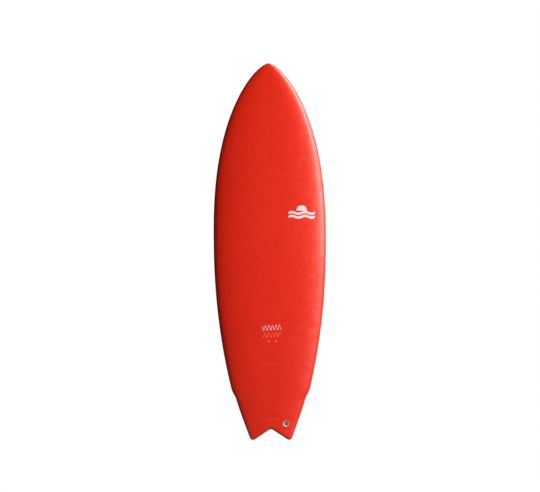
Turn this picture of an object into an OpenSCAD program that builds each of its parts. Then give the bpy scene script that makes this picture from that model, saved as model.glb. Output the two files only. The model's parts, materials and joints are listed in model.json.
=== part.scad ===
// Soft-top fish surfboard with wings and a swallow tail.
// X is across the board, +Z is towards the nose and the deck faces -Y.
// The origin is on the bottom's centre line, in the middle of its flat spot.

/* [Board] */
// Length from the nose tip to the tail tips
board_length = 1778; // [1700:1:1850]
// Width at the wide point
board_width = 531; // [500:1:550]
// Thickness at the thickest point
board_thickness = 67; // [62:1:72]
// Distance of the wide point in front of the middle
wide_point = 63; // [30:1:90]
// Distance of the thickest point in front of the middle
thick_point = 40; // [0:1:70]
// Rise of the nose tip above the flat spot
nose_rocker = 115; // [80:1:130]
// Rise of the tail tips above the flat spot
tail_rocker = 50; // [30:1:60]

/* [Outline] */
// Fullness of the nose curve
nose_fullness = 2.4; // [2.2:0.05:2.6]
// Sharpness of the nose curve at the tip
nose_sharpness = 0.673; // [0.64:0.005:0.7]
// Width at the front of the wings
wing_width = 375; // [360:1:390]
// Width just behind the wings
hip_width = 325; // [310:1:340]
// Distance of the front of the wings from the tail tips
wing_from_tail = 248; // [230:1:260]
// Length over which a wing steps in
wing_length = 59; // [45:1:70]

/* [Swallow tail] */
// Depth of the notch between the tail tips
notch_depth = 50; // [40:1:60]
// Angle of the notch's sides
notch_angle = 33.5; // [30:0.5:38]
// Radius at the top of the notch
notch_round = 15; // [10:1:20]
// Radius of each tail tip
tip_round = 16; // [12:1:18]

/* [Skins] */
// Thickness of the foam deck skin, the rails and the bottom layers together
skin = 5; // [4:0.5:6]
// Thickness of the slick plastic bottom sheet
slick = 2; // [1.5:0.25:2.5]
// Gap left for the glue between two layers
glue = 0.1; // [0.08:0.01:0.15]
// Share of the half width that the deck skin covers
deck_seam = 0.95; // [0.93:0.005:0.96]
// Share of the half width that the bottom sheets cover
bottom_seam = 0.905; // [0.89:0.005:0.92]

/* [Stringers] */
// Distance of each stringer from the centre line
stringer_offset = 45; // [35:1:50]
// Thickness of each plywood stringer
stringer_thickness = 4; // [3:0.5:5]

/* [Fins] */
// Length of a fin's base
fin_base = 110; // [105:1:115]
// Depth of a fin below the bottom
fin_depth = 114; // [105:1:120]
// Greatest thickness of a fin
fin_thickness = 7.6; // [7:0.1:8.5]
// Outward lean of the side fins
fin_cant = 6; // [4:0.5:8]
// Inward turn of the side fins
fin_toe = 3; // [2:0.5:4]
// Distance of the side fins from the centre line
side_fin_offset = 148; // [140:1:150]
// Distance of the side fins' middle from the tail tips
side_fin_from_tail = 335; // [320:1:350]
// Distance of the centre fin's middle from the tail tips
centre_fin_from_tail = 165; // [155:1:175]
// Distance from a fin's middle to each of its plugs
plug_spacing = 33; // [31:0.5:35]

/* [Leash plug] */
// Distance of the leash cup to the right of the centre line
leash_offset = 71; // [68:1:76]
// Distance of the leash cup from the tail tips
leash_from_tail = 76; // [74:1:90]
// Radius of the leash cup's rim
cup_rim = 14; // [13:0.5:15]

/* [Hidden] */

$fn = 48;
half_length = board_length / 2;
half_width = board_width / 2;

// Swallow tail: a round notch top, straight sides and round tips, seen from the deck
notch_top_end = notch_round * sin(notch_angle);
straight_end = notch_top_end
    + (notch_depth - (notch_round + tip_round) * (1 - cos(notch_angle))) / tan(notch_angle);
tip_x = straight_end + tip_round * sin(notch_angle);
corner_angle = 70;
corner_half = tip_x + tip_round * sin(corner_angle);
corner_rise = tip_round * (1 - cos(corner_angle));
corner_z = corner_rise - half_length;
notch_fade = 240;

// Outline
wing_z = wing_from_tail - half_length;
hip_z = wing_z - wing_length;
waist_power = 2.14;
hip_power = 1.08;

// Sections: share of the thickness below the rail's edge, and the curves of deck and bottom
rail_share = 0.45;
crown_power = 2.8;
belly_flat = 0.72;
nose_thickness = 0.3;
tail_thickness = 0.42;
thickness_power = 2.5;

// Rocker: the bottom is flat between these two stations
flat_front = 80;
flat_back = -120;
nose_rocker_power = 2.2;
tail_rocker_power = 2;

// Rounding of the tail's edge and of the nose tip
tail_round = 14;
nose_round = 24;
round_start = 10;
round_steps = 4;

// Columns, as shares of the half width
columns = [0, 0.08, 0.2, 0.35, 0.5, 0.63, 0.75, 0.84, bottom_seam, deck_seam, 0.98, 0.995, 1];
all_columns = concat([for (i = [len(columns) - 1 : -1 : 1]) -columns[i]], columns);
seam_gap = 0.005;

// Stations along the board, closest at the tail, the wings and the nose
body_stations = concat(
    [for (z = [corner_z + 26 : 25 : hip_z - 10]) z],
    [for (i = [0 : 4]) hip_z + 6 + i * (wing_length + 10) / 4],
    [for (z = [wing_z + 60 : 84 : half_length - 300]) z],
    [for (i = [0 : 6]) half_length - 255 + 222 * sin(i * 14)]
);

function smooth(u) = let(v = max(0, min(1, u))) v * v * (3 - 2 * v);
function mix(a, b, share) = a + (b - a) * share;

// Half width of the outline at a station, brought in by an inset
function nose_z(inset) = half_length - 2.2 * inset;
function nose_curve(z, inset) =
    let(share = (nose_z(inset) + 0.6 - z) / (nose_z(inset) + 0.6 - wide_point))
    (half_width - inset) * pow(1 - pow(1 - share, nose_fullness), nose_sharpness);
function waist_curve(z) =
    let(share = (wide_point - z) / (wide_point - wing_z))
    mix(half_width, wing_width / 2, pow(share, waist_power));
function hip_curve(z) =
    let(share = (hip_z - z) / (hip_z - corner_z))
    mix(hip_width / 2, corner_half, sign(share) * pow(abs(share), hip_power));
function outline(z, inset = 0) =
    z > wide_point
        ? nose_curve(z, inset)
        : mix(waist_curve(z), hip_curve(z), smooth((wing_z - z) / wing_length)) - inset;

// Height of the tail's edge above the tail tips, at a distance from the centre line
function tail_edge(x) =
    x < notch_top_end
        ? notch_depth - notch_round + sqrt(notch_round * notch_round - x * x)
        : x < straight_end
            ? notch_depth - notch_round * (1 - cos(notch_angle)) - tan(notch_angle) * (x - notch_top_end)
            : tip_round - sqrt(tip_round * tip_round - (x - tip_x) * (x - tip_x));

// Foil, rocker and the section's two curves
function foil(z) =
    z > thick_point
        ? 1 - (1 - nose_thickness) * pow((z - thick_point) / (half_length - thick_point), thickness_power)
        : 1 - (1 - tail_thickness) * pow((thick_point - z) / (half_length + thick_point), thickness_power);
function rocker(z) =
    z > flat_front
        ? nose_rocker * pow((z - flat_front) / (half_length - flat_front), nose_rocker_power)
        : z < flat_back
            ? tail_rocker * pow((flat_back - z) / (half_length + flat_back), tail_rocker_power)
            : 0;
function crown(c) = sqrt(1 - pow(abs(c), crown_power));
function belly(c) =
    let(share = max(0, (abs(c) - belly_flat) / (1 - belly_flat)))
    sqrt(max(0, 1 - share * share));

// Stations of a face at an inset, each with how far its rounding has opened
function stations(inset) = concat(
    [for (i = [0 : round_steps])
        let(a = mix(round_start, 90, i / round_steps))
        [corner_z + 1.2 * inset + (tail_round - 0.8 * inset) * (cos(round_start) - cos(a)), sin(a)]],
    [for (z = body_stations) [z, 1]],
    [for (i = [round_steps - 1 : -1 : 0])
        let(a = mix(round_start, 90, i / round_steps))
        [nose_z(inset) - (nose_round - inset) * (cos(round_start) - cos(a)), sin(a)]]
);

// A point of the outer face or of the face under the skins: side is 1 on the deck and -1 on the bottom
function sheet_point(side, c, station, inset) =
    let(lift = 1 - smooth((station[0] - corner_z) / notch_fade),
        z = station[0] + (tail_edge(abs(c) * corner_half) - corner_rise) * lift,
        full = board_thickness * foil(z),
        middle = rail_share * full,
        height = side > 0
            ? middle + (full - inset - middle) * crown(c) * station[1]
            : middle - (middle - inset) * belly(c) * station[1])
    [c * outline(station[0], inset), -rocker(z) - height, z];

// All points of a sheet. Its depth is measured from the outer face to the face under the skins
function sheet(places, inset) =
    let(outer = stations(0), inner = stations(skin))
    [for (i = [0 : len(outer) - 1])
        [for (p = places)
            mix(sheet_point(p[0], p[1], outer[i], 0), sheet_point(p[0], p[1], inner[i], skin), inset / skin)]];

function deck_places(limit) = [for (c = all_columns) if (abs(c) <= limit) [1, c]];
function bottom_places(limit) = [for (c = all_columns) if (abs(c) <= limit) [-1, c]];
rail_places = concat(
    [[1, deck_seam + seam_gap]],
    [for (c = columns) if (c > deck_seam) [1, c]],
    [for (i = [len(columns) - 2 : -1 : 0]) if (columns[i] > bottom_seam) [-1, columns[i]]],
    [[-1, bottom_seam + seam_gap]]
);

// Height of the deck and bottom surfaces at a place, and the deck's slopes there
function deck_y(x, z) =
    let(full = board_thickness * foil(z), middle = rail_share * full)
    -rocker(z) - middle - (full - middle) * crown(x / outline(z));
function rocker_slope(z) = (rocker(z + 1) - rocker(z - 1)) / 2;

// A solid between two sheets with the same grid. Sheets that meet along their sides have no side walls
module between(front, back, sides_meet = false) {
    rows = len(front);
    across = len(front[0]);
    count = rows * across;
    points = concat([for (row = front) each row], [for (row = back) each row]);
    sheet_faces = [
        for (i = [0 : rows - 2], j = [0 : across - 2])
            let(a = i * across + j, b = a + 1, c = b + across, d = a + across)
            each [[a, c, b], [a, d, c], [count + a, count + b, count + c], [count + a, count + c, count + d]]
    ];
    end_faces = [
        for (j = [0 : across - 2], i = [0, rows - 1])
            let(a = i * across + j, b = a + 1, flip = i > 0)
            each flip
                ? [[a, count + b, b], [a, count + a, count + b]]
                : [[a, b, count + b], [a, count + b, count + a]]
    ];
    side_faces = sides_meet ? [] : [
        for (i = [0 : rows - 2], j = [0, across - 1])
            let(a = i * across + j, b = a + across, flip = j > 0)
            each flip
                ? [[a, b, count + b], [a, count + b, count + a]]
                : [[a, count + b, b], [a, count + a, count + b]]
    ];
    polyhedron(points = points, faces = concat(sheet_faces, end_faces, side_faces));
}

// Puts children on the bottom, their Z pointing out of it and their X towards the nose
module on_bottom(x, z, turn = 0) {
    translate([x, -rocker(z), z])
        rotate([atan(rocker_slope(z)), 0, 0])
            multmatrix([[0, 1, 0, 0], [0, 0, 1, 0], [1, 0, 0, 0], [0, 0, 0, 1]])
                rotate([0, 0, turn])
                    children();
}

// Puts children on the deck, their Z pointing out of it
module on_deck(x, z) {
    slope_x = deck_y(x + 1, z) - deck_y(x - 1, z);
    slope_z = deck_y(x, z + 1) - deck_y(x, z - 1);
    translate([x, deck_y(x, z), z])
        rotate([-atan(slope_z / 2), 0, atan(slope_x / 2)])
            rotate([90, 0, 0])
                children();
}

// Core and stringers: slices of one foam blank
plug_depth = 15;
plug_rim = 13.5;
plug_barrel = 11.5;
cup_barrel = 12;
cup_depth = 18;
slice_reach = 3 * board_width;

module core_blank() {
    between(sheet(deck_places(1), skin + glue), sheet(bottom_places(1), skin + glue), sides_meet = true);
}

module core_slice(from, to) {
    intersection() {
        core_blank();
        translate([from, -slice_reach / 2, -slice_reach])
            cube([to - from, slice_reach, 2 * slice_reach]);
    }
}

module plug_pockets(x, z, turn, radius) {
    on_bottom(x, z, turn)
        for (along = [-plug_spacing, plug_spacing])
            translate([along, 0, -plug_depth - glue])
                cylinder(r = radius + glue, h = plug_depth + 3);
}

side_fin_z = side_fin_from_tail - half_length;
centre_fin_z = centre_fin_from_tail - half_length;
inner_face = stringer_offset - stringer_thickness / 2;
outer_face = stringer_offset + stringer_thickness / 2;

module core_left() {
    color("white")
        difference() {
            core_slice(-half_width, -outer_face - glue);
            plug_pockets(-side_fin_offset, side_fin_z, fin_toe, plug_barrel);
        }
}

module core_centre() {
    color("white")
        difference() {
            core_slice(-inner_face + glue, inner_face - glue);
            plug_pockets(0, centre_fin_z, 0, plug_barrel);
        }
}

module core_right() {
    color("white")
        difference() {
            core_slice(outer_face + glue, half_width);
            plug_pockets(side_fin_offset, side_fin_z, -fin_toe, plug_barrel);
            on_deck(leash_offset, leash_from_tail - half_length)
                translate([0, 0, -cup_depth - glue])
                    cylinder(r = cup_barrel + glue, h = cup_depth + 5);
        }
}

module stringer(side) {
    color("burlywood")
        core_slice(side * stringer_offset - stringer_thickness / 2, side * stringer_offset + stringer_thickness / 2);
}

// Skins
module deck_skin() {
    color("firebrick")
        difference() {
            between(sheet(deck_places(deck_seam), 0), sheet(deck_places(deck_seam), skin));
            on_deck(leash_offset, leash_from_tail - half_length)
                translate([0, 0, -skin - 5])
                    cylinder(r = cup_rim + glue, h = skin + 10);
        }
}

module rail(side) {
    color("red")
        mirror([side < 0 ? 1 : 0, 0, 0])
            between(sheet(rail_places, 0), sheet(rail_places, skin));
}

module bottom_sheet(outer, inner, hole) {
    difference() {
        between(sheet(bottom_places(bottom_seam), inner), sheet(bottom_places(bottom_seam), outer));
        for (side = [-1, 1])
            plug_pockets(side * side_fin_offset, side_fin_z, -side * fin_toe, hole);
        plug_pockets(0, centre_fin_z, 0, hole);
    }
}

module bottom_foam() {
    color("gainsboro")
        bottom_sheet(slick + glue, skin, plug_barrel);
}

module bottom_slick() {
    color("white")
        bottom_sheet(0, slick, plug_rim);
}

// Leash plug: a cup let into the deck, with a bar across it
cup_bowl = 10;
cup_proud = 0.6;
cup_flange = 4.2;
bowl_straight = 6;
rim_land = 1;
mouth_depth = 3;
mouth_flare = (cup_rim - rim_land - cup_bowl) / mouth_depth;
bar_radius = 1.6;
bar_length = 23;
bar_depth = 4.5;
bar_clearance = 0.05;

module leash_bar_shape(radius, length) {
    translate([0, 0, -bar_depth])
        rotate([0, 90, 0])
            cylinder(r = radius, h = length, center = true);
}

module leash_cup() {
    color("lightgray")
        on_deck(leash_offset, leash_from_tail - half_length)
            difference() {
                union() {
                    translate([0, 0, -cup_flange])
                        cylinder(r = cup_rim, h = cup_flange + cup_proud);
                    translate([0, 0, -cup_depth])
                        cylinder(r = cup_barrel, h = cup_depth);
                }
                translate([0, 0, -bowl_straight])
                    cylinder(r = cup_bowl, h = bowl_straight + 2);
                translate([0, 0, -bowl_straight])
                    sphere(r = cup_bowl);
                translate([0, 0, cup_proud - mouth_depth])
                    cylinder(
                        r1 = cup_bowl,
                        r2 = cup_bowl + mouth_flare * (mouth_depth + 1),
                        h = mouth_depth + 1
                    );
                leash_bar_shape(bar_radius + bar_clearance, bar_length + 4 * bar_clearance);
            }
}

module leash_bar() {
    color("silver")
        on_deck(leash_offset, leash_from_tail - half_length)
            leash_bar_shape(bar_radius, bar_length);
}

// Fin plugs: a round flanged plug with a slot for the fin's tab and a slanted screw hole
slot_length = 15;
slot_width = 6.8;
slot_depth = 12.5;
screw_radius = 2.5;
screw_clearance = 0.05;
screw_lean = 25;
screw_offset = 8.6;
screw_length = 6.6;
screw_sunk = 0.6;
socket_radius = 1.45;
socket_depth = 2.5;

module screw_place() {
    translate([0, screw_offset, 0])
        rotate([-screw_lean, 0, 0])
            rotate([180, 0, 0])
                children();
}

module fin_plug(x, z, turn, along, screw_side) {
    color("dimgray")
        on_bottom(x, z, turn)
            translate([along, 0, 0])
                difference() {
                    union() {
                        translate([0, 0, -slick])
                            cylinder(r = plug_rim, h = slick);
                        translate([0, 0, -plug_depth])
                            cylinder(r = plug_barrel, h = plug_depth);
                    }
                    translate([-slot_length / 2, -slot_width / 2, -slot_depth])
                        cube([slot_length, slot_width, slot_depth + 1]);
                    mirror([0, screw_side < 0 ? 1 : 0, 0])
                        screw_place()
                            translate([0, 0, -3])
                                cylinder(r = screw_radius + screw_clearance, h = 3 + screw_sunk + screw_length + 0.5);
                }
}

module grub_screw(x, z, turn, along, screw_side) {
    color("silver")
        on_bottom(x, z, turn)
            translate([along, 0, 0])
                mirror([0, screw_side < 0 ? 1 : 0, 0])
                    screw_place()
                        translate([0, 0, screw_sunk])
                            difference() {
                                cylinder(r = screw_radius, h = screw_length);
                                translate([0, 0, -1])
                                    cylinder(r = socket_radius, h = 1 + socket_depth, $fn = 6);
                            }
}

// Fins: a raked foil with two tabs that stand in the plugs
fin_gap = 0.4;
fin_sweep = 140;
tab_length = 14.4;
tab_width = 6.4;
tab_depth = 12;
tab_round = 3;
fin_rows = 9;
fin_tip = 0.985;
chord_steps = 8;

function fin_front(s) = fin_base / 2 - fin_sweep * pow(s, 2.1);
function fin_back(s) = -fin_base / 2 - (fin_sweep - fin_base) * pow(s, 2.2);
function foil_half(w, s) =
    0.3 + (fin_thickness / 2 - 0.3) * (1 - 0.6 * s) * pow(max(0, sin(180 * pow(w, 0.6))), 0.9);
function fin_sheet(face, lean) = [
    for (i = [0 : fin_rows])
        let(s = fin_tip * sin(90 * i / fin_rows))
        [for (j = [0 : chord_steps])
            let(w = pow(j / chord_steps, 1.3))
            [mix(fin_front(s), fin_back(s), w),
             face * foil_half(w, s) + s * fin_depth * tan(lean),
             mix(fin_gap, fin_depth, s)]]
];

module fin_tab() {
    translate([0, tab_width / 2, 0])
        rotate([90, 0, 0])
            linear_extrude(tab_width) {
                translate([-tab_length / 2, tab_round - tab_depth])
                    square([tab_length, tab_depth - tab_round + 1]);
                translate([tab_round - tab_length / 2, -tab_depth])
                    square([tab_length - 2 * tab_round, tab_round]);
                for (end = [-1, 1])
                    translate([end * (tab_length / 2 - tab_round), tab_round - tab_depth])
                        circle(r = tab_round);
            }
}

module fin(x, z, turn, lean) {
    color("darkslategray")
        on_bottom(x, z, turn)
            union() {
                between(fin_sheet(1, lean), fin_sheet(-1, lean));
                for (along = [-plug_spacing, plug_spacing])
                    translate([along, 0, 0])
                        fin_tab();
            }
}

// The three fin stations: where each stands, how it is turned and which way it leans
left_fin = [-side_fin_offset, side_fin_z, fin_toe];
right_fin = [side_fin_offset, side_fin_z, -fin_toe];
centre_fin = [0, centre_fin_z, 0];

module plug_at(place, along, screw_side) {
    fin_plug(place[0], place[1], place[2], along * plug_spacing, screw_side);
}

module screw_at(place, along, screw_side) {
    grub_screw(place[0], place[1], place[2], along * plug_spacing, screw_side);
}

core_left();
core_centre();
core_right();
stringer(-1);  // stringer_left
stringer(1);  // stringer_right
deck_skin();
rail(-1);  // rail_left
rail(1);  // rail_right
bottom_foam();
bottom_slick();
leash_cup();
leash_bar();
fin(left_fin[0], left_fin[1], left_fin[2], -fin_cant);  // fin_left
fin(right_fin[0], right_fin[1], right_fin[2], fin_cant);  // fin_right
fin(centre_fin[0], centre_fin[1], centre_fin[2], 0);  // fin_centre
plug_at(left_fin, 1, 1);  // plug_left_front
plug_at(left_fin, -1, 1);  // plug_left_rear
plug_at(right_fin, 1, -1);  // plug_right_front
plug_at(right_fin, -1, -1);  // plug_right_rear
plug_at(centre_fin, 1, 1);  // plug_centre_front
plug_at(centre_fin, -1, 1);  // plug_centre_rear
screw_at(left_fin, 1, 1);  // screw_left_front
screw_at(left_fin, -1, 1);  // screw_left_rear
screw_at(right_fin, 1, -1);  // screw_right_front
screw_at(right_fin, -1, -1);  // screw_right_rear
screw_at(centre_fin, 1, 1);  // screw_centre_front
screw_at(centre_fin, -1, 1);  // screw_centre_rear
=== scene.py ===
import json
import math

import bmesh
import bpy
import numpy as np
from mathutils import Matrix, Vector


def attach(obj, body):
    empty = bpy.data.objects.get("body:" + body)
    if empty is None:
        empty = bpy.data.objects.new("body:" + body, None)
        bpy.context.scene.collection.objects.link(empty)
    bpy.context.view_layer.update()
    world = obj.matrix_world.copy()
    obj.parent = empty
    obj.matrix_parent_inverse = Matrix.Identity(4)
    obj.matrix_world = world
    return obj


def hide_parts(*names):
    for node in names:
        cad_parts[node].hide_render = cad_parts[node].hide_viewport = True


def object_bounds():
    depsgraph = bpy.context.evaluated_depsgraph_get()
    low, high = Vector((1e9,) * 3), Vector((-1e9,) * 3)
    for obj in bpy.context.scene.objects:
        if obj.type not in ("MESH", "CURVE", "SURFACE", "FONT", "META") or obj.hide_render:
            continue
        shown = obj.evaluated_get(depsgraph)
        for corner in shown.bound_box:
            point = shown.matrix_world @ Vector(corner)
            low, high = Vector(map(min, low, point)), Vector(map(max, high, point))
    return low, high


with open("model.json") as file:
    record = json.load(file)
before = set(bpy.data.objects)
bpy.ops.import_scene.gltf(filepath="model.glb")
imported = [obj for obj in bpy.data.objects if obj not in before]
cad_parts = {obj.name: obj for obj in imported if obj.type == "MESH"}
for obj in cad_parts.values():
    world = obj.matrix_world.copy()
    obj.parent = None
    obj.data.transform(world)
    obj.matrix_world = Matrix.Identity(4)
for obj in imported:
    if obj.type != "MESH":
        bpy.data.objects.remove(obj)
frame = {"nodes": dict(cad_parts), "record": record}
cad_low, cad_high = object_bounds()

# ---------------------------------------------------------------------------------------------
# The board's shape, in millimetres, as the CAD part draws it. +Z is the nose, the deck faces -Y.
# ---------------------------------------------------------------------------------------------
MM = 0.001
HALF_LENGTH = 889
HALF_WIDTH = 265.5
THICKNESS = 67
WIDE_POINT = 63
THICK_POINT = 40
NOSE_ROCKER, TAIL_ROCKER = 115, 50
FLAT_FRONT, FLAT_BACK = 80, -120
WING_HALF, HIP_HALF = 187.5, 162.5
WING_Z = 248 - HALF_LENGTH
WING_LENGTH = 59
HIP_Z = WING_Z - WING_LENGTH
NOTCH_DEPTH, NOTCH_ROUND, TIP_ROUND = 50, 15, 16
NOTCH_ANGLE = math.radians(33.5)
CORNER_ANGLE = math.radians(70)
NOTCH_FADE = 240
RAIL_SHARE = 0.45
CROWN_POWER = 2.8
BELLY_FLAT = 0.72
DECK_SEAM, BOTTOM_SEAM = 0.95, 0.905
SKIN, SLICK = 5, 2
TAIL_ROUND, NOSE_ROUND = 14, 24

NOTCH_TOP_END = NOTCH_ROUND * math.sin(NOTCH_ANGLE)
SLOPE_DROP = NOTCH_DEPTH - (NOTCH_ROUND + TIP_ROUND) * (1 - math.cos(NOTCH_ANGLE))
STRAIGHT_END = NOTCH_TOP_END + SLOPE_DROP / math.tan(NOTCH_ANGLE)
TIP_X = STRAIGHT_END + TIP_ROUND * math.sin(NOTCH_ANGLE)
CORNER_HALF = TIP_X + TIP_ROUND * math.sin(CORNER_ANGLE)
CORNER_RISE = TIP_ROUND * (1 - math.cos(CORNER_ANGLE))
CORNER_Z = CORNER_RISE - HALF_LENGTH

# Hardware places: across and along the board, and the fins' turn and lean in degrees
FIN_PLACES = {"left": (-148, -554, 3), "right": (148, -554, -3), "centre": (0, -724, 0)}
FIN_LEAN = {"left": -6, "right": 6, "centre": 0}
PLUG_SPACING = 33
PLUG_RIM = 13.5
CUP_PLACE = (71, -813)
CUP_RIM, CUP_BARREL, CUP_BOWL = 14, 12, 10
CUP_PROUD, CUP_FLANGE, CUP_DEPTH = 0.6, 4.2, 18
BAR_RADIUS, BAR_HALF, BAR_DEPTH = 1.6, 11.5, 4.5
CUP_ROOM, PLUG_ROOM = 0.15, 0.1


def smooth(share):
    """Eases from 0 to 1 as share goes from 0 to 1."""
    v = np.clip(share, 0, 1)
    return v * v * (3 - 2 * v)


def mix(a, b, share):
    return a + (b - a) * share


def outline(z, inset=0.0):
    """Half width of the board at a station."""
    tip = HALF_LENGTH - 2.2 * inset + 0.6
    share = np.clip((tip - z) / (tip - WIDE_POINT), 0, 1)
    nose = (HALF_WIDTH - inset) * (1 - (1 - share) ** 2.4) ** 0.673
    waist = mix(HALF_WIDTH, WING_HALF, np.clip((WIDE_POINT - z) / (WIDE_POINT - WING_Z), 0, None) ** 2.14)
    behind = (HIP_Z - z) / (HIP_Z - CORNER_Z)
    hip = mix(HIP_HALF, CORNER_HALF, np.sign(behind) * np.abs(behind) ** 1.08)
    back = mix(waist, hip, smooth((WING_Z - z) / WING_LENGTH)) - inset
    return np.where(z > WIDE_POINT, nose, back)


def tail_edge(x):
    """Height of the swallow tail's edge above the tail tips, at a distance from the centre line."""
    top = NOTCH_DEPTH - NOTCH_ROUND + np.sqrt(np.clip(NOTCH_ROUND**2 - x**2, 0, None))
    slope_top = NOTCH_DEPTH - NOTCH_ROUND * (1 - math.cos(NOTCH_ANGLE))
    slope = slope_top - math.tan(NOTCH_ANGLE) * (x - NOTCH_TOP_END)
    tip = TIP_ROUND - np.sqrt(np.clip(TIP_ROUND**2 - (x - TIP_X) ** 2, 0, None))
    return np.where(x < NOTCH_TOP_END, top, np.where(x < STRAIGHT_END, slope, tip))


def foil(z):
    """Share of the full thickness that is left at a station."""
    front = 1 - 0.7 * np.clip((z - THICK_POINT) / (HALF_LENGTH - THICK_POINT), 0, None) ** 2.5
    back = 1 - 0.58 * np.clip((THICK_POINT - z) / (HALF_LENGTH + THICK_POINT), 0, None) ** 2.5
    return np.where(z > THICK_POINT, front, back)


def rocker(z):
    """How far the bottom curves towards the deck side at a station."""
    front = NOSE_ROCKER * np.clip((z - FLAT_FRONT) / (HALF_LENGTH - FLAT_FRONT), 0, None) ** 2.2
    back = TAIL_ROCKER * np.clip((FLAT_BACK - z) / (HALF_LENGTH + FLAT_BACK), 0, None) ** 2
    return front + back


def crown(c):
    return np.sqrt(np.clip(1 - np.abs(c) ** CROWN_POWER, 0, 1))


def belly(c):
    share = np.clip((np.abs(c) - BELLY_FLAT) / (1 - BELLY_FLAT), 0, 1)
    return np.sqrt(1 - share**2)


def skin_points(side, c, station, opening, depth):
    """Points at a depth under the board's face. side is 1 on the deck and -1 on the bottom.

    c is the share of the half width, station the place along the board, and opening how far the
    rounding of the board's end has opened there.
    """
    lift = 1 - smooth((station - CORNER_Z) / NOTCH_FADE)
    z = station + (tail_edge(np.abs(c) * CORNER_HALF) - CORNER_RISE) * lift
    full = THICKNESS * foil(z)
    middle = RAIL_SHARE * full
    deck = middle + (full - depth - middle) * crown(c) * opening
    bottom = middle - (middle - depth) * belly(c) * opening
    height = np.where(side > 0, deck, bottom)
    return np.stack([c * outline(station, depth), -rocker(z) - height, z], axis=-1)


def deck_y(x, z):
    full = THICKNESS * foil(z)
    middle = RAIL_SHARE * full
    return -rocker(z) - middle - (full - middle) * crown(x / outline(z))


def on_bottom(x, z, turn=0.0):
    """Matrix, in millimetres, of a place on the bottom: Z out of the board, X to the nose."""
    slope = math.atan(float(rocker(z + 1) - rocker(z - 1)) / 2)
    axes = Matrix(((0, 1, 0, 0), (0, 0, 1, 0), (1, 0, 0, 0), (0, 0, 0, 1)))
    place = Matrix.Translation((x, -float(rocker(z)), z)) @ Matrix.Rotation(slope, 4, "X")
    return place @ axes @ Matrix.Rotation(math.radians(turn), 4, "Z")


def on_deck(x, z):
    """Matrix, in millimetres, of a place on the deck: Z out of the board."""
    across = math.atan(float(deck_y(x + 1, z) - deck_y(x - 1, z)) / 2)
    along = math.atan(float(deck_y(x, z + 1) - deck_y(x, z - 1)) / 2)
    turned = Matrix.Rotation(across, 4, "Z") @ Matrix.Rotation(-along, 4, "X")
    return Matrix.Translation((x, float(deck_y(x, z)), z)) @ turned @ Matrix.Rotation(math.pi / 2, 4, "X")


# ---------------------------------------------------------------------------------------------
# Materials. Object coordinates are metres in the board's frame, so a scale of 1000 is 1 mm.
# ---------------------------------------------------------------------------------------------
class Look:
    """A material being made: its node tree, with short calls for the nodes that the looks share."""

    def __init__(self, name):
        self.material = bpy.data.materials.new(name)
        self.material.use_nodes = True
        self.tree = self.material.node_tree
        self.shader = self.tree.nodes["Principled BSDF"]
        self.place = self.add("ShaderNodeTexCoord").outputs["Object"]

    def add(self, kind, inputs=None, **settings):
        """A node with these settings and inputs. An input is a value or another node's output."""
        node = self.tree.nodes.new(kind)
        for key, value in settings.items():
            setattr(node, key, value)
        for key, value in (inputs or {}).items():
            self.put(node.inputs[key], value)
        return node

    def put(self, socket, value):
        if isinstance(value, bpy.types.NodeSocket):
            self.tree.links.new(value, socket)
        else:
            socket.default_value = value

    def set(self, **values):
        """Sets the shader's sockets, named with _ for a space."""
        for key, value in values.items():
            self.put(self.shader.inputs[key.replace("_", " ")], value)

    def stretched(self, stretch):
        return self.add("ShaderNodeMapping", {"Vector": self.place, "Scale": stretch}).outputs["Vector"]

    def noise(self, scale, detail=3.0, stretch=(1, 1, 1), distortion=0.0):
        inputs = {"Vector": self.stretched(stretch), "Scale": scale, "Detail": detail}
        inputs["Distortion"] = distortion
        return self.add("ShaderNodeTexNoise", inputs).outputs["Fac"]

    def cells(self, scale, feature="F1", stretch=(1, 1, 1)):
        inputs = {"Vector": self.stretched(stretch), "Scale": scale}
        return self.add("ShaderNodeTexVoronoi", inputs, feature=feature).outputs["Distance"]

    def span(self, value, low, high, to_low=0.0, to_high=1.0):
        """value, with low to high mapped to to_low to to_high and clamped."""
        inputs = {"Value": value, "From Min": low, "From Max": high}
        inputs.update({"To Min": to_low, "To Max": to_high})
        return self.add("ShaderNodeMapRange", inputs).outputs["Result"]

    def maths(self, operation, a, b=0.0):
        node = self.add("ShaderNodeMath", operation=operation)
        self.put(node.inputs[0], a)
        self.put(node.inputs[1], b)
        return node.outputs[0]

    def blend(self, share, a, b):
        """Colour a where share is 0 and colour b where it is 1."""
        node = self.add("ShaderNodeMix", data_type="RGBA")
        self.put(node.inputs[0], share)
        for socket, value in ((node.inputs[6], a), (node.inputs[7], b)):
            self.put(socket, value if isinstance(value, bpy.types.NodeSocket) else (*value, 1))
        return node.outputs[2]

    def bump(self, height, distance, strength=1.0, under=None):
        inputs = {"Height": height, "Distance": distance, "Strength": strength}
        if under is not None:
            inputs["Normal"] = under
        return self.add("ShaderNodeBump", inputs).outputs["Normal"]

    def line(self, start, end, height, half_width):
        """A value that is 1 on a level line across the board, and 0 beside it and past its ends."""
        parts = self.add("ShaderNodeSeparateXYZ", {"Vector": self.place}).outputs
        aside = self.maths("ABSOLUTE", self.maths("SUBTRACT", parts["Z"], height))
        along = self.maths("ABSOLUTE", self.maths("SUBTRACT", parts["X"], (start + end) / 2))
        reach = (end - start) / 2
        near = self.span(aside, 0, half_width, 1, 0)
        within = self.span(along, 0.8 * reach, reach, 1, 0)
        return self.maths("MULTIPLY", near, within)

    def mark(self, name):
        """A value that a mesh holds for each of its points."""
        return self.add("ShaderNodeAttribute", attribute_name=name).outputs["Fac"]


SCUFFED_RED = (0.76, 0.05, 0.025)
# The crease colour is a painted highlight: a paler red standing in for light caught on the creases
CREASE_GLINT_RED = (0.85, 0.2, 0.15)
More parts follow.
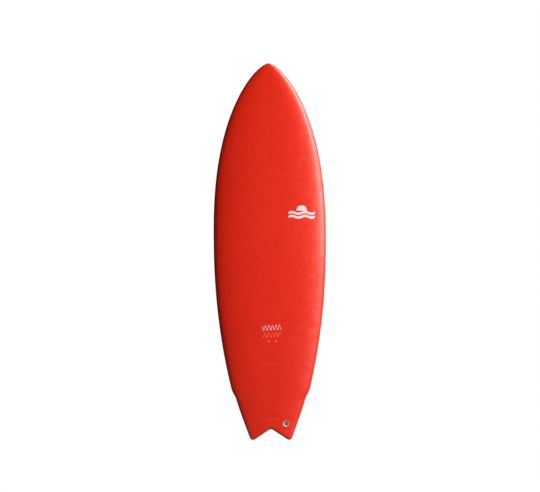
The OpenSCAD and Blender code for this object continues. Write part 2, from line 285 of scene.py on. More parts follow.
# The seam colour is painted shade: the dark of the rolled seam's groove
SEAM_SHADE = (0.16, 0.006, 0.004)
CREASE_GLINT_HALF_WIDTH, CREASE_GLINT_COVER = 0.0016, 0.22

# Painted highlights along faint creases across the deck: start, end and height in metres
CREASE_GLINT_LINES = ((-0.022, 0.085, -0.53), (-0.03, 0.045, -0.792))


def foam_look(name, red, deep, grain, glint_lines=()):
    """Closed-cell foam sheet: satin, with fine cells, mottling, faint scuffs, painted highlight lines on
    its creases and painted shade along the seam.
    """
    look = Look(name)
    mottle = look.noise(9, 4)
    patches = look.noise(70, 3, distortion=0.4)
    cells = look.cells(grain)
    fine = look.noise(1500, 2)
    colour = look.blend(look.span(mottle, 0.32, 0.68), red, deep)
    colour = look.blend(look.span(patches, 0.45, 0.8, 0, 0.22), colour, tuple(0.84 * v for v in red))
    pores = look.span(cells, 0.55, 0.85, 0, 0.3)
    colour = look.blend(pores, colour, tuple(0.62 * v for v in deep))
    scuffs = look.span(look.noise(26, 6, (9, 9, 1.2), 1.2), 0.66, 0.74, 0, 0.16)
    colour = look.blend(scuffs, colour, SCUFFED_RED)
    # Painted highlight: a paler stripe along each crease line, in place of its reflection; the crease has
    # no bump
    for start, end, height in glint_lines:
        line = look.line(start, end, height, CREASE_GLINT_HALF_WIDTH)
        colour = look.blend(look.maths("MULTIPLY", line, CREASE_GLINT_COVER), colour, CREASE_GLINT_RED)
    # Painted shade: darker towards the rolled seam, where its groove falls in shade
    colour = look.blend(look.maths("MULTIPLY", look.mark("seam"), 0.5), colour, SEAM_SHADE)
    rough = look.span(look.noise(45, 4), 0.3, 0.7, 0.32, 0.4)
    rough = look.maths("ADD", rough, look.maths("MULTIPLY", scuffs, 0.35))
    waves = look.bump(look.noise(16, 2), 0.0009)
    skin = look.bump(look.noise(240, 3), 0.00035, under=waves)
    cell_bump = look.bump(cells, 0.00009, under=skin)
    normal = look.bump(fine, 0.00003, under=cell_bump)
    look.set(Base_Color=colour, Roughness=rough, Normal=normal, Specular_IOR_Level=0.7)
    return look.material


def slick_look():
    """Slick plastic bottom sheet: glossy, faintly wavy, with fine scratches along the board."""
    look = Look("slick_sheet")
    clouds = look.noise(6, 3)
    colour = look.blend(look.span(clouds, 0.3, 0.7), (0.82, 0.82, 0.8), (0.88, 0.88, 0.86))
    scratches = look.span(look.noise(60, 8, (14, 14, 0.8), 0.6), 0.62, 0.7)
    colour = look.blend(look.maths("MULTIPLY", scratches, 0.12), colour, (0.6, 0.6, 0.6))
    # Painted shade: darker towards the rolled seam at the sheet's edge
    colour = look.blend(look.maths("MULTIPLY", look.mark("seam"), 0.35), colour, (0.4, 0.38, 0.36))
    rough = look.span(look.noise(30, 5), 0.3, 0.7, 0.16, 0.27)
    rough = look.maths("ADD", rough, look.maths("MULTIPLY", scratches, 0.2))
    waves = look.bump(look.noise(11, 2), 0.0022)
    peel = look.bump(look.noise(190, 2), 0.00009, under=waves)
    normal = look.bump(scratches, 0.00003, under=peel)
    look.set(Base_Color=colour, Roughness=rough, Normal=normal)
    look.set(Coat_Weight=0.25, Coat_Roughness=0.12)
    return look.material


def bead_look(name, tone, scale):
    """Foam of pressed beads: pale cells with darker joints."""
    look = Look(name)
    joints = look.cells(scale, "DISTANCE_TO_EDGE")
    tone_cells = look.cells(scale)
    joint = look.span(joints, 0.0, 0.12, 1, 0)
    colour = look.blend(look.span(tone_cells, 0.1, 0.9), tone, tuple(0.9 * v for v in tone))
    colour = look.blend(look.maths("MULTIPLY", joint, 0.5), colour, tuple(0.66 * v for v in tone))
    grain = look.bump(look.noise(900, 3), 0.0001)
    normal = look.bump(look.span(joints, 0.0, 0.3), 0.0005, under=grain)
    look.set(Base_Color=colour, Roughness=look.span(joint, 0, 1, 0.6, 0.8), Normal=normal)
    return look.material


def ply_look():
    """Plywood stringer: long grain with thin glue lines between its plies."""
    look = Look("stringer_ply")
    grain = look.noise(90, 8, (6, 6, 0.35), 0.5)
    colour = look.blend(look.span(grain, 0.3, 0.7), (0.62, 0.42, 0.22), (0.4, 0.24, 0.11))
    lines = look.add("ShaderNodeTexWave", {"Vector": look.place, "Scale": 260.0, "Distortion": 0.4})
    glue = look.span(lines.outputs["Fac"], 0.86, 0.96, 0, 0.5)
    colour = look.blend(glue, colour, (0.12, 0.06, 0.03))
    normal = look.bump(grain, 0.0003)
    look.set(Base_Color=colour, Roughness=look.span(grain, 0.2, 0.8, 0.45, 0.7), Normal=normal)
    return look.material


def moulded_look(name, tone, low, high, grain=1100, scuff=0.08):
    """Injection-moulded plastic: fine grain, soft flow marks and a few light scuffs."""
    look = Look(name)
    flow = look.noise(35, 4, (1, 1, 0.4), 0.8)
    scuffs = look.span(look.noise(120, 7, (5, 5, 1)), 0.64, 0.72)
    colour = look.blend(look.span(flow, 0.3, 0.7, 0, 0.5), tone, tuple(0.78 * v for v in tone))
    colour = look.blend(look.maths("MULTIPLY", scuffs, scuff), colour, (0.6, 0.6, 0.6))
    rough = look.span(flow, 0.25, 0.75, low, high)
    rough = look.maths("ADD", rough, look.maths("MULTIPLY", scuffs, 0.12))
    normal = look.bump(look.noise(grain, 2), 0.00005, under=look.bump(look.noise(60, 2), 0.0003))
    look.set(Base_Color=colour, Roughness=rough, Normal=normal)
    return look.material


def steel_look():
    """Stainless steel, turned and lightly brushed."""
    look = Look("stainless")
    brushed = look.noise(700, 6, (0.3, 6, 6))
    spots = look.noise(260, 3)
    colour = look.blend(look.span(spots, 0.35, 0.7), (0.74, 0.74, 0.73), (0.6, 0.6, 0.6))
    rough = look.span(brushed, 0.2, 0.8, 0.2, 0.36)
    normal = look.bump(brushed, 0.00002)
    look.set(Base_Color=colour, Metallic=1.0, Roughness=rough, Normal=normal)
    return look.material


def ink_look(name, tone, cover):
    """Screen-printed ink: it lies on the foam's cells, and pinholes let the red through."""
    look = Look(name)
    cells = look.cells(760)
    pinholes = look.span(look.noise(1300, 3), cover, cover + 0.05)
    colour = look.blend(look.span(look.noise(60, 4), 0.3, 0.7), tone, tuple(0.92 * v for v in tone))
    colour = look.blend(look.maths("MULTIPLY", pinholes, 0.7), colour, (0.66, 0.05, 0.03))
    normal = look.bump(cells, 0.00009, under=look.bump(look.noise(240, 3), 0.0003))
    rough = look.span(look.noise(90, 3), 0.3, 0.7, 0.42, 0.58)
    look.set(Base_Color=colour, Roughness=rough, Normal=normal)
    return look.material


DECK_RED, DECK_DEEP_RED = (0.7, 0.016, 0.0031), (0.665, 0.0147, 0.0027)
RAIL_RED, RAIL_DEEP_RED = (0.7, 0.0162, 0.0033), (0.665, 0.0149, 0.0029)

LOOKS = {
    "deck_foam": foam_look("deck_foam", DECK_RED, DECK_DEEP_RED, 640, CREASE_GLINT_LINES),
    "rail_foam": foam_look("rail_foam", RAIL_RED, RAIL_DEEP_RED, 820),
    "slick_sheet": slick_look(),
    "backing_foam": bead_look("backing_foam", (0.78, 0.78, 0.76), 620),
    "core_foam": bead_look("core_foam", (0.86, 0.86, 0.84), 230),
    "stringer_ply": ply_look(),
    "cup_plastic": moulded_look("cup_plastic", (0.56, 0.52, 0.53), 0.24, 0.36, scuff=0.05),
    "stainless": steel_look(),
    "plug_plastic": moulded_look("plug_plastic", (0.022, 0.022, 0.024), 0.38, 0.52),
    "fin_plastic": moulded_look("fin_plastic", (0.016, 0.017, 0.019), 0.26, 0.4, scuff=0.05),
    "ink_white": ink_look("ink_white", (0.74, 0.6, 0.7), 0.66),
    "ink_faint": ink_look("ink_faint", (0.72, 0.2, 0.2), 0.58),
}


# ---------------------------------------------------------------------------------------------
# Mesh building
# ---------------------------------------------------------------------------------------------
def grid_solid(outer, inner):
    """Points and faces of the closed solid between two grids of points with the same rows and columns."""
    rows, columns = outer.shape[:2]
    number = np.arange(rows * columns).reshape(rows, columns)
    a, b = number[:-1, :-1].ravel(), number[:-1, 1:].ravel()
    c, d = number[1:, 1:].ravel(), number[1:, :-1].ravel()
    count = rows * columns
    faces = [*zip(a, b, c, d), *zip(a + count, d + count, c + count, b + count)]
    edge = [*number[0, :], *number[1:, -1], *number[-1, -2::-1], *number[-2:0:-1, 0]]
    for i, start in enumerate(edge):
        end = edge[(i + 1) % len(edge)]
        faces.append((end, start, start + count, end + count))
    points = np.concatenate([outer.reshape(-1, 3), inner.reshape(-1, 3)])
    return points, [tuple(int(v) for v in face) for face in faces]


def joined(solids):
    """One list of points and faces for several solids."""
    points, faces, count = [], [], 0
    for solid_points, solid_faces in solids:
        points.append(np.asarray(solid_points, float))
        faces += [tuple(v + count for v in face) for face in solid_faces]
        count += len(solid_points)
    return np.concatenate(points), faces


def new_mesh(name, points, faces, marks=None):
    """A mesh from points in millimetres. marks says, from 0 to 1, how near each is to its seam."""
    mesh = bpy.data.meshes.new(name)
    mesh.from_pydata((np.asarray(points) * MM).tolist(), [], faces)
    if marks is not None:
        seam = mesh.attributes.new("seam", "FLOAT", "POINT")
        seam.data.foreach_set("value", marks.astype(np.float32))
    mesh.update()
    return mesh


def weld(mesh, distance=0.02 * MM):
    """Joins the points that coincide, where a grid closes on itself, and turns all faces outwards."""
    build = bmesh.new()
    build.from_mesh(mesh)
    bmesh.ops.remove_doubles(build, verts=build.verts, dist=distance)
    bmesh.ops.dissolve_degenerate(build, edges=build.edges, dist=distance / 4)
    bmesh.ops.recalc_face_normals(build, faces=build.faces)
    build.to_mesh(mesh)
    build.free()


def show(name, mesh, look, body="board", replaces=(), sharp=38):
    """Puts a mesh in the scene as a piece that rides on a body."""
    mesh.shade_smooth()
    mesh.set_sharp_from_angle(angle=math.radians(sharp))
    mesh.materials.clear()
    mesh.materials.append(LOOKS[look])
    piece = bpy.data.objects.new(name, mesh)
    bpy.context.scene.collection.objects.link(piece)
    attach(piece, body)
    if replaces:
        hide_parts(*replaces)
    return piece


def cut(mesh, cutters):
    """The mesh less the cutters' solids, which are (points in millimetres, faces)."""
    body = bpy.data.objects.new("cut_body", mesh)
    tool = bpy.data.objects.new("cut_tool", new_mesh("cut_tool", *joined(cutters)))
    for item in (body, tool):
        bpy.context.scene.collection.objects.link(item)
    step = body.modifiers.new("cut", "BOOLEAN")
    step.operation, step.solver, step.object = "DIFFERENCE", "EXACT", tool
    bpy.context.view_layer.update()
    evaluated = body.evaluated_get(bpy.context.evaluated_depsgraph_get())
    made = bpy.data.meshes.new_from_object(evaluated)
    for item in (body, tool):
        bpy.data.objects.remove(item)
    return made


def turned(profile, place, steps=96):
    """A solid of revolution. profile holds (radius, height) points, the first and last on the axis."""
    profile = np.asarray(profile, float)
    angles = np.arange(steps) * 2 * math.pi / steps
    rings = np.stack(
        [
            np.outer(profile[1:-1, 0], np.cos(angles)),
            np.outer(profile[1:-1, 0], np.sin(angles)),
            np.outer(profile[1:-1, 1], np.ones(steps)),
        ],
        axis=-1,
    )
    count = len(profile) - 2
    points = [*rings.reshape(-1, 3), (0, 0, profile[0, 1]), (0, 0, profile[-1, 1])]
    faces = []
    for j in range(steps):
        k = (j + 1) % steps
        faces.append((count * steps, j, k))
        faces.append((count * steps + 1, (count - 1) * steps + k, (count - 1) * steps + j))
        for i in range(count - 1):
            faces.append((i * steps + j, (i + 1) * steps + j, (i + 1) * steps + k, i * steps + k))
    return moved(points, place), faces


def moved(points, place):
    points = np.asarray(points, float)
    matrix = np.array(place)
    return points @ matrix[:3, :3].T + matrix[:3, 3]


def arc(centre, radius, start, end, steps=6):
    """Points of an arc in a profile, with its angles in degrees."""
    return [
        (centre[0] + radius * math.cos(a), centre[1] + radius * math.sin(a))
        for a in np.radians(np.linspace(start, end, steps + 1))
    ]


def drill(place, radius, top, bottom):
    """A round cutter from top down to bottom, along the place's Z."""
    return turned([(0, top), (radius, top), (radius, bottom), (0, bottom)], place, 72)


# ---------------------------------------------------------------------------------------------
# Skins. The deck foam wraps round the nose and the tail, and the slick sheet starts behind its seam.
# ---------------------------------------------------------------------------------------------
WRAP_TAIL = 22
WRAP_NOSE, WRAP_NOSE_CORNER = 30, 70
SEAM_ROLL, SLICK_ROLL, SEAM_ROLL_WIDTH = 0.5, 0.6, 1.4
SEAM_FULL_REACH = 70
ROUND_STEPS = 12


def end_opening(share):
    """The opening of an end's row and its way in, as a share of the rounding, from the edge inwards."""
    angle = share * math.pi / 2
    return math.sin(angle), 1 - math.cos(angle)


def tail_offset(share, depth):
    return CORNER_Z + 1.2 * depth + (TAIL_ROUND - 0.8 * depth) * end_opening(share)[1]


def nose_offset(share, depth):
    return HALF_LENGTH - 2.2 * depth - (NOSE_ROUND - depth) * end_opening(share)[1]


def body_stations():
    """Rows between the two rounded ends, closest where the outline turns quickest."""
    tail = np.arange(CORNER_Z + TAIL_ROUND + 9, WING_Z + 30, 5.0)
    middle = np.arange(tail[-1] + 8, HALF_LENGTH - 260, 9.5)
    steps = np.linspace(0, 1, 46)[1:-1]
    nose = middle[-1] + (HALF_LENGTH - NOSE_ROUND - 2 - middle[-1]) * (1 - (1 - steps) ** 1.35)
    return np.concatenate([tail, middle, nose])


def seam_share(station, limit):
    """Share of the half width where the bottom's seam runs. It meets the deck's seam at both ends."""
    ends = np.minimum(station - CORNER_Z, HALF_LENGTH - station)
    return mix(DECK_SEAM, limit, smooth(ends / 60))


def wrap_end(c_share):
    """How far the deck foam reaches over the nose onto the bottom."""
    return mix(WRAP_NOSE, WRAP_NOSE_CORNER, c_share**2)


def seam_nearness(across, reach):
    """1 on a seam, falling to 0 over the width of its roll. It fades where the board narrows."""
    return (1 - smooth(across / SEAM_ROLL_WIDTH)) * np.clip(reach / SEAM_FULL_REACH, 0, 1)


def closed_skin(outer, inner, near):
    """Points, faces and seam marks of the solid between a skin's outer and inner grids."""
    points, faces = grid_solid(outer, inner)
    return points, faces, np.concatenate([near.ravel(), np.zeros(near.size)])


def skin_solid(rows, spread, roll=SEAM_ROLL, thickness=SKIN):
    """A skin as a closed solid with its edges rolled in.

    rows hold (side, function of depth and spread for the stations, opening). spread holds the
    columns' places between the two seams, from -1 to 1.
    """
    grids = []
    for depth in (0.0, float(thickness)):
        grid, near = [], []
        for side, stations_at, opening in rows:
            station = stations_at(depth, spread)
            sides, c = column_places(side, station, spread)
            reach = outline(station)
            across = np.clip((np.abs(c[-1]) - np.abs(c)) * reach, 0, None)
            near_row = seam_nearness(across, reach)
            depths = depth if depth else roll * near_row
            grid.append(skin_points(sides, c, station, opening, depths))
            near.append(near_row)
        grids.append((np.array(grid), np.array(near)))
    return closed_skin(grids[0][0], grids[1][0], grids[0][1])


def column_places(side, station, spread):
    """The sides and width shares of a row of the deck skin or of the slick sheet."""
    limit = DECK_SEAM if side > 0 else seam_share(station, BOTTOM_SEAM)
    return np.full(spread.shape, side), spread * limit


def half_spread(count, power):
    """Shares from -1 to 1, closest together at the ends."""
    half = 1 - (1 - np.linspace(0, 1, count)) ** power
    return np.concatenate([-half[:0:-1], half])


def flat_row(station):
    return lambda depth, spread: np.full(spread.shape, float(station))


def tail_row(share, extra=0.0):
    return lambda depth, spread: np.full(spread.shape, tail_offset(share, depth) + extra)


def nose_row(share, reach=0.0):
    """A row of the nose. Past the rounding, reach goes from 0 to 1 up to the seam on the bottom."""

    def stations_at(depth, spread):
        start = nose_offset(share, depth)
        return start - (wrap_end(np.abs(spread)) - NOSE_ROUND) * reach

    return stations_at


def round_shares():
    return np.linspace(0, 1, ROUND_STEPS + 1)


def deck_rows():
    """From the seam under the tail, round it, up the deck and round the nose to its seam."""
    rows = [(-1, tail_row(1, extra), 1.0) for extra in (WRAP_TAIL - TAIL_ROUND, 6, 3)]
    rows += [(-1, tail_row(s), end_opening(s)[0]) for s in round_shares()[:0:-1]]
    rows += [(1, tail_row(s), end_opening(s)[0]) for s in round_shares()]
    rows += [(1, flat_row(z), 1.0) for z in body_stations()]
    rows += [(1, nose_row(s), end_opening(s)[0]) for s in round_shares()[::-1]]
    rows += [(-1, nose_row(s), end_opening(s)[0]) for s in round_shares()[1:]]
    rows += [(-1, nose_row(1, reach), 1.0) for reach in (0.25, 0.5, 0.75, 1.0)]
    return rows


def slick_rows():
    """From the seam under the tail to the one under the nose."""
    start = CORNER_Z + WRAP_TAIL

    def between(share):
        return lambda depth, spread: mix(start, HALF_LENGTH - wrap_end(np.abs(spread)), share)

    return [(-1, between(share), 1.0) for share in np.linspace(0, 1, 240)]


def rail_solid(side):
    """A rail: its columns run from the deck's seam, over the board's edge, to the bottom's seam."""
    over = np.linspace(0, 1, 15)
    under = np.linspace(0, 1, 19)
    rows = [(tail_row(s), end_opening(s)[0]) for s in round_shares()]
    rows += [(flat_row(z), 1.0) for z in body_stations()]
    rows += [(nose_row(s), end_opening(s)[0]) for s in round_shares()[::-1]]
    sides = np.concatenate([np.ones(len(over)), -np.ones(len(under) - 1)])
    grids = []
    for depth in (0.0, float(SKIN)):
        grid, near = [], []
        for stations_at, opening in rows:
            station = float(stations_at(depth, np.zeros(1))[0])
            low = float(seam_share(station, BOTTOM_SEAM))
            deck_side = 1 - (1 - DECK_SEAM) * (1 - over) ** 2
            bottom_side = 1 - (1 - low) * under**2
            c = np.concatenate([deck_side, bottom_side[1:]])
            reach = float(outline(station))
            across = np.where(sides > 0, c - DECK_SEAM, c - low) * reach
            near_row = seam_nearness(across, reach)
            depths = depth if depth else SEAM_ROLL * near_row
            grid.append(skin_points(sides, c, np.full(c.shape, station), opening, depths))
            near.append(near_row)
        grids.append((np.array(grid), np.array(near)))
    mirror = [side, 1, 1]
    return closed_skin(grids[0][0] * mirror, grids[1][0] * mirror, grids[0][1])


def make_deck():
    points, faces, marks = skin_solid(deck_rows(), half_spread(49, 1.55))
    mesh = new_mesh("deck_foam", points, faces, marks)
    weld(mesh)
    mesh = cut(mesh, [drill(on_deck(*CUP_PLACE), CUP_RIM + CUP_ROOM, 8, -14)])
    mesh.name = "deck_foam"
    skin = show("deck_foam_skin", mesh, "deck_foam", replaces=["deck_skin"])


def make_rails():
    for name, side in (("left", -1), ("right", 1)):
        points, faces, marks = rail_solid(side)
        mesh = new_mesh(f"rail_foam_{name}", points, faces, marks)
        weld(mesh)
        rail = show(f"rail_foam_{name}", mesh, "rail_foam", replaces=[f"rail_{name}"])


def plug_places():
    """The place of each fin plug."""
    for x, z, turn in FIN_PLACES.values():
        for along in (PLUG_SPACING, -PLUG_SPACING):
            yield on_bottom(x, z, turn) @ Matrix.Translation((along, 0, 0))


def make_slick():
    points, faces, marks = skin_solid(slick_rows(), half_spread(33, 1.5), SLICK_ROLL, SLICK)
    mesh = new_mesh("slick_sheet", points, faces, marks)
    weld(mesh)
    mesh = cut(mesh, [drill(place, PLUG_RIM + PLUG_ROOM, 6, -6) for place in plug_places()])
    mesh.name = "slick_sheet"
    show("slick_bottom", mesh, "slick_sheet", replaces=["bottom_slick"])


# ---------------------------------------------------------------------------------------------
# Leash cup and bar
# ---------------------------------------------------------------------------------------------
def make_cup():
    place = on_deck(*CUP_PLACE)
    bowl_straight, mouth_depth = 6, 3
    floor = [(0, -bowl_straight - CUP_BOWL)]
    bowl = arc((0, -bowl_straight), CUP_BOWL, -84, 0, 14)
    lip = arc((CUP_BOWL + 0.5, CUP_PROUD - mouth_depth - 0.2), 0.5, 180, 135, 3)
    lip += [(CUP_RIM - 1.1, CUP_PROUD - 0.12), (CUP_RIM - 0.85, CUP_PROUD)]
    rim = arc((CUP_RIM - 0.45, CUP_PROUD - 0.45), 0.45, 90, 0, 5)
    under = [(CUP_RIM, -CUP_FLANGE), (CUP_BARREL, -CUP_FLANGE - 0.4)]
    foot = arc((CUP_BARREL - 1, 1 - CUP_DEPTH), 1, 0, -90, 4)
    profile = floor + bowl + lip + rim + under + foot + [(0, -CUP_DEPTH)]
    points, faces = turned(profile[::-1], place)
    mesh = new_mesh("leash_cup_body", points, faces)
    weld(mesh)
    show("leash_cup_body", mesh, "cup_plastic", replaces=["leash_cup"], sharp=50)


def make_bar():
    place = on_deck(*CUP_PLACE) @ Matrix.Translation((0, 0, -BAR_DEPTH))
    place = place @ Matrix.Rotation(math.pi / 2, 4, "Y")
    end = 0.35
    profile = [(0, BAR_HALF), (BAR_RADIUS - end, BAR_HALF), (BAR_RADIUS, BAR_HALF - end)]
    profile += [(BAR_RADIUS, h) for h in np.linspace(BAR_HALF - 1, 1 - BAR_HALF, 9)]
    profile += [(BAR_RADIUS, end - BAR_HALF), (BAR_RADIUS - end, -BAR_HALF), (0, -BAR_HALF)]
    points, faces = turned(profile, place, 40)
    mesh = new_mesh("leash_bar_pin", points, faces)
    weld(mesh)
    show("leash_bar_pin", mesh, "stainless", replaces=["leash_bar"])


# ---------------------------------------------------------------------------------------------
# Fins: a raked foil with a flared foot and two tabs
# ---------------------------------------------------------------------------------------------
FIN_BASE, FIN_DEPTH, FIN_THICK, FIN_SWEEP, FIN_GAP = 110, 114, 7.6, 140, 0.4
TAB_LENGTH, TAB_WIDTH, TAB_DEPTH, TAB_ROUND = 14.4, 6.4, 12, 3
FIN_ROWS, CHORD_STEPS = 44, 30


def fin_blade(lean):
    """Points and faces of a fin's blade in its own place, where Z points out of the bottom."""
    shares = 0.985 * np.sin(np.linspace(0, math.pi / 2, FIN_ROWS))
    chord = 0.5 - 0.5 * np.cos(math.pi * np.linspace(0, 1, CHORD_STEPS))
    sheets = []
    for face in (1, -1):
        rows = []
        for s in shares:
            front = FIN_BASE / 2 - FIN_SWEEP * s**2.1
            back = -FIN_BASE / 2 - (FIN_SWEEP - FIN_BASE) * s**2.2
            height = mix(FIN_GAP, FIN_DEPTH, s)
            fullness = np.clip(np.sin(math.pi * chord**0.6), 0, None) ** 0.9
            flare = 1.1 * math.exp(-(height - FIN_GAP) / 2.2) * fullness**0.4
            half = 0.3 + (FIN_THICK / 2 - 0.3) * (1 - 0.6 * s) * fullness + flare
            half = half * mix(1, 0.45, smooth((s - 0.93) / 0.055))
            side = face * half + s * FIN_DEPTH * math.tan(math.radians(lean))
            level = np.full(chord.shape, height)
            rows.append(np.stack([mix(front, back, chord), side, level], axis=-1))
        sheets.append(np.array(rows))
    return grid_solid(sheets[0], sheets[1])


def fin_tab(along):
    """A tab with rounded lower corners and eased edges."""
    half, low = TAB_LENGTH / 2, -TAB_DEPTH
    loop = [(half, 1.2)]
    loop += arc((half - TAB_ROUND, low + TAB_ROUND), TAB_ROUND, 0, -90, 7)
    loop += arc((TAB_ROUND - half, low + TAB_ROUND), TAB_ROUND, -90, -180, 7)
    loop += [(-half, 1.2)]
    loop = np.array(loop)
    centre = np.array([0, low / 2])
    ease = 0.4
    rings = []
    for side, inset in ((-1, ease), (-1, 0), (1, 0), (1, ease)):
        depth = TAB_WIDTH / 2 - (0 if inset else ease)
        flat = loop + np.sign(centre - loop) * inset
        across = np.full(len(loop), side * depth)
        rings.append(np.stack([flat[:, 0] + along, across, flat[:, 1]], axis=-1))
    count = len(loop)
    points = np.concatenate(rings)
    faces = [tuple(range(count)), tuple(range(4 * count - 1, 3 * count - 1, -1))]
    for ring in range(3):
        for i in range(count):
            k = (i + 1) % count
            a, b = ring * count, (ring + 1) * count
            faces.append((a + i, b + i, b + k, a + k))
    return points, faces


def make_fins():
    for name, (x, z, turn) in FIN_PLACES.items():
        place = on_bottom(x, z, turn)
        solids = [fin_blade(FIN_LEAN[name]), fin_tab(PLUG_SPACING), fin_tab(-PLUG_SPACING)]
        points, faces = joined(solids)
        mesh = new_mesh(f"fin_blade_{name}", moved(points, place), faces)
        weld(mesh, 0.005 * MM)
        body = f"fin_{name}_body"
        show(f"fin_blade_{name}", mesh, "fin_plastic", body=body, replaces=[f"fin_{name}"], sharp=42)


# ---------------------------------------------------------------------------------------------
# Prints: plain wave marks in place of the board's own graphics, as thin ink on the deck
# ---------------------------------------------------------------------------------------------
INK_PROUD, INK_SUNK = 0.22, 0.25
MARK_PLACE = (152, 188)
SMALL_PLACE = (6, -386)


def ink_patch(x, z):
    """Ink on the deck over a grid of places."""
    y = deck_y(x, z)
    outer = np.stack([x, y - INK_PROUD, z], axis=-1)
    inner = np.stack([x, y + INK_SUNK, z], axis=-1)
    return grid_solid(outer, inner)


def wave_bar(centre, width, height, swell, waves, thickness, lean=0.0, steps=90):
    """A bar of constant thickness whose line swells up and down."""
    along = np.linspace(-0.5, 0.5, steps)
    ends = np.sqrt(np.clip(1 - (np.abs(along) * 2) ** 24, 0, 1))
    line = swell * np.sin(2 * math.pi * waves * along) + lean * along * width
    across = np.linspace(-0.5, 0.5, 5)[:, None]
    x = centre[0] + along[None, :] * width + 0 * across
    z = centre[1] + height + line[None, :] + across * thickness * ends[None, :]
    return ink_patch(x, z)


def half_disc(centre, radius, height):
    """A rising half disc."""
    radii = np.linspace(0.02, 1, 8)[:, None] * radius
    angles = np.linspace(math.pi, 0, 48)[None, :]
    return ink_patch(centre[0] + radii * np.cos(angles), centre[1] + height + radii * np.sin(angles))


def make_prints():
    big = [wave_bar(MARK_PLACE, 126, height, 4.2, 2, 11.5) for height in (-23, -5)]
    big.append(half_disc(MARK_PLACE, 25, 6))
    show("print_large", new_mesh("print_large", *joined(big)), "ink_white")
    top = [wave_bar(SMALL_PLACE, 90, 27, 10, 5.5, 6, 0.04, 150)]
    show("print_small_top", new_mesh("print_small_top", *joined(top)), "ink_white")
    low = [wave_bar(SMALL_PLACE, 86, -7, 9, 5, 4.4, 0.04, 150)]
    low += [wave_bar((SMALL_PLACE[0] + x, SMALL_PLACE[1]), 6, -37, 0, 1, 8, 0.1, 12) for x in (-13, 19)]
    show("print_small_low", new_mesh("print_small_low", *joined(low)), "ink_faint")


# ---------------------------------------------------------------------------------------------
# CAD nodes that keep their own meshes, with finished materials
# ---------------------------------------------------------------------------------------------
EASED_EDGE = 0.35


def ease_edges(node):
    """Rounds a hard part's edges."""
    joint = node.modifiers.new("weld", "WELD")
    joint.merge_threshold = 0.002 * MM
    bevel = node.modifiers.new("ease", "BEVEL")
    bevel.width = EASED_EDGE * MM
    bevel.segments = 2
    bevel.limit_method = "ANGLE"
    bevel.angle_limit = math.radians(40)
    bevel.use_clamp_overlap = True


def dress_cad_nodes():
    slots = {part["node"]: part["material_slot"] for part in frame["record"]["subparts"]}
    for name, node in frame["nodes"].items():
        node.data.materials.clear()
        node.data.materials.append(LOOKS[slots[name]])
        if name.startswith(("plug_", "screw_")):
            ease_edges(node)


# ---------------------------------------------------------------------------------------------
# Floor, lights and camera
# ---------------------------------------------------------------------------------------------
WHITE, WARM, AMBER = (1, 1, 1), (1, 0.95, 0.82), (1, 0.7, 0.42)


def softbox(name, azimuth, elevation, distance, size, power, tint=WHITE, target=(0, 0, 0)):
    """An area light pointing at the target, its azimuth counted from the deck's side to the right."""
    a, e = math.radians(azimuth), math.radians(elevation)
    away = Vector((math.sin(a) * math.cos(e), -math.cos(a) * math.cos(e), math.sin(e)))
    lamp = bpy.data.lights.new(name, "AREA")
    lamp.shape = "RECTANGLE"
    lamp.size, lamp.size_y = size
    lamp.energy = power
    lamp.color = tint
    light = bpy.data.objects.new(name, lamp)
    light.location = Vector(target) + away * distance
    light.rotation_mode = "QUATERNION"
    light.rotation_quaternion = away.to_track_quat("Z", "Y")
    light.visible_camera = False
    bpy.context.scene.collection.objects.link(light)


def make_lights():
    softbox("key", 51, 14.5, 5.1, (1.9, 0.8), 372, WARM)
    softbox("high_fill", 50, 50, 8, (1.5, 1.5), 300, WARM)
    softbox("tail_fill", -25, -24, 2.4, (0.5, 0.5), 6, AMBER, (0, 0, -0.95))
    softbox("back_key", 165, 22, 3.2, (1.8, 2.2), 95)


def make_world():
    """White behind the object, and a dim grey room for everything else."""
    world = bpy.data.worlds.new("studio")
    bpy.context.scene.world = world
    world.use_nodes = True
    tree = world.node_tree
    tree.nodes.clear()
    room, backdrop = (tree.nodes.new("ShaderNodeBackground") for _ in range(2))
    room.inputs["Color"].default_value = (0.9, 0.93, 1, 1)
    room.inputs["Strength"].default_value = 0.015
    backdrop.inputs["Color"].default_value = (1, 1, 1, 1)
    pick = tree.nodes.new("ShaderNodeMixShader")
    seen = tree.nodes.new("ShaderNodeLightPath").outputs["Is Camera Ray"]
    tree.links.new(seen, pick.inputs["Fac"])
    tree.links.new(room.outputs[0], pick.inputs[1])
    tree.links.new(backdrop.outputs[0], pick.inputs[2])
    tree.links.new(pick.outputs[0], tree.nodes.new("ShaderNodeOutputWorld").inputs["Surface"])


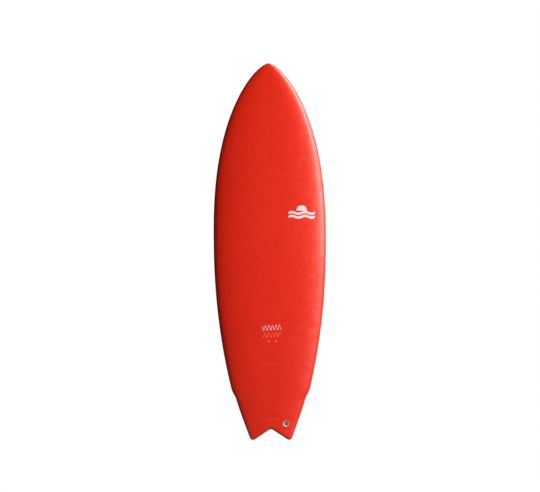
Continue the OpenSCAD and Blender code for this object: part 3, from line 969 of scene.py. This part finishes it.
def make_floor():
    """A plain white floor disc just under the tail tips."""
    radius, rings, steps = 3.2, 5, 64
    points = [(0, 0, 0)]
    for r in np.linspace(0, radius, rings + 1)[1:]:
        points += [(r * math.cos(a), r * math.sin(a), 0) for a in np.linspace(0, 2 * math.pi, steps, False)]
    faces = [(0, 1 + j, 1 + (j + 1) % steps) for j in range(steps)]
    for i in range(rings - 1):
        for j in range(steps):
            k = (j + 1) % steps
            a, b = 1 + i * steps, 1 + (i + 1) * steps
            faces.append((a + j, b + j, b + k, a + k))
    mesh = bpy.data.meshes.new("floor")
    mesh.from_pydata(points, [], faces)
    floor = bpy.data.objects.new("floor", mesh)
    floor.location.z = cad_low.z - 0.002
    look = Look("floor")
    tree = look.tree
    white = look.add("ShaderNodeEmission", {"Color": (1, 1, 1, 1), "Strength": 1.0}).outputs[0]
    matt = look.add("ShaderNodeBsdfDiffuse", {"Color": (0.12, 0.12, 0.12, 1)}).outputs[0]
    pick = look.add("ShaderNodeMixShader")
    seen = look.add("ShaderNodeLightPath").outputs["Is Camera Ray"]
    tree.links.new(seen, pick.inputs["Fac"])
    tree.links.new(matt, pick.inputs[1])
    tree.links.new(white, pick.inputs[2])
    tree.links.new(pick.outputs[0], tree.nodes["Material Output"].inputs["Surface"])
    mesh.materials.append(look.material)
    bpy.context.scene.collection.objects.link(floor)
    floor.visible_shadow = False


CAMERA_DISTANCE = 24
FRAME_WIDTH = 2.56
CAMERA_ASIDE, CAMERA_UP = 0.0012, 0.0274
CAMERA_ROLL = math.radians(0.38)


def make_camera():
    """A long lens, near the level of the board's middle, square to the deck."""
    camera = bpy.data.cameras.new("camera")
    camera.sensor_width = 36
    camera.lens = camera.sensor_width * CAMERA_DISTANCE / FRAME_WIDTH
    camera.clip_end = 100
    eye = bpy.data.objects.new("camera", camera)
    eye.location = (CAMERA_ASIDE, -CAMERA_DISTANCE, CAMERA_UP)
    eye.rotation_euler = (math.pi / 2, CAMERA_ROLL, 0)
    bpy.context.scene.collection.objects.link(eye)
    bpy.context.scene.camera = eye


make_deck()
make_rails()
make_slick()
make_cup()
make_bar()
make_fins()
make_prints()
dress_cad_nodes()
make_lights()
make_world()
make_floor()
make_camera()
bpy.context.scene.view_settings.view_transform = "Standard"
